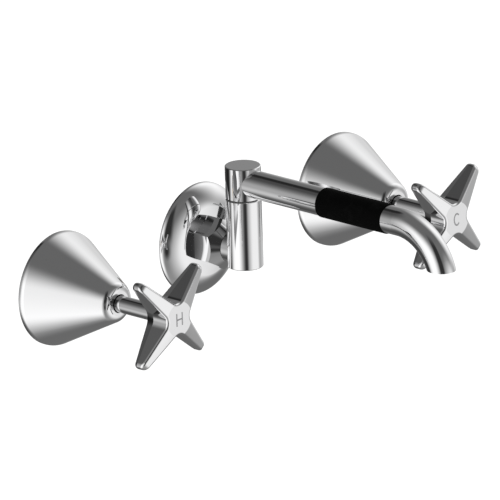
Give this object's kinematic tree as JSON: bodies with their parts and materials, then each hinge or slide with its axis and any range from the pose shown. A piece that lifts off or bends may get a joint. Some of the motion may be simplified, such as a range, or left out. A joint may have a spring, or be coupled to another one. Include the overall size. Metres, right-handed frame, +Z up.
{
  "type": "wall tap set",
  "caption": "Wall laundry tap set: quarter turn hot and cold taps with cross handles on cone covers, and a swivel spout on a post.",
  "frame": {"origin": "where the outlet's axis meets the finished wall", "axes": "+X right along the wall from hot to cold, +Y into the wall, +Z up"},
  "size_m": [0.2752, 0.2016, 0.0774],
  "materials": {
    "chrome": "polished plate on brass",
    "brass": "machined",
    "stainless": "machined",
    "rubber": "matt black",
    "ptfe": "smooth",
    "fibre": "pressed",
    "ceramic": "lapped"
  },
  "bodies": {
    "wall_fixings": {"outlet_nipple": "brass", "outlet_seal": "fibre", "outlet_tail": "chrome", "outlet_nut": "chrome", "outlet_flange": "chrome", "column": "chrome", "swivel_grub_screw": "stainless", "swivel_washer": "ptfe", "hot_flange": "chrome", "hot_valve_body": "brass", "hot_body_o_ring": "rubber", "hot_seat_seal": "rubber", "hot_fixed_disc": "ceramic", "hot_gland_washer": "ptfe", "cold_flange": "chrome", "cold_valve_body": "brass", "cold_body_o_ring": "rubber", "cold_seat_seal": "rubber", "cold_fixed_disc": "ceramic", "cold_gland_washer": "ptfe"},
    "spout": {"swivel_head": "chrome", "swivel_stem": "brass", "stem_o_rings": "rubber", "spout_tube": "chrome", "spout_sleeve": "rubber"},
    "hot_tap": {"hot_spindle": "chrome", "hot_spindle_o_rings": "rubber", "hot_moving_disc": "ceramic", "hot_circlip": "stainless", "hot_handle": "chrome", "hot_handle_screw": "stainless"},
    "cold_tap": {"cold_spindle": "chrome", "cold_spindle_o_rings": "rubber", "cold_moving_disc": "ceramic", "cold_circlip": "stainless", "cold_handle": "chrome", "cold_handle_screw": "stainless"}
  },
  "joints": [
    {"name": "hot_turn", "type": "hinge", "parent": "wall_fixings", "child": "hot_tap", "pos_m": [-0.107, -0.06, 0], "axis": [0, -1, 0], "range_deg": [0, 90]},
    {"name": "cold_turn", "type": "hinge", "parent": "wall_fixings", "child": "cold_tap", "pos_m": [0.107, -0.06, 0], "axis": [0, -1, 0], "range_deg": [0, 90]},
    {"name": "spout_swivel", "type": "hinge", "parent": "wall_fixings", "child": "spout", "pos_m": [0, -0.0338, 0.02], "axis": [0, 0, 1], "range_deg": [-50, 50]}
  ]
}
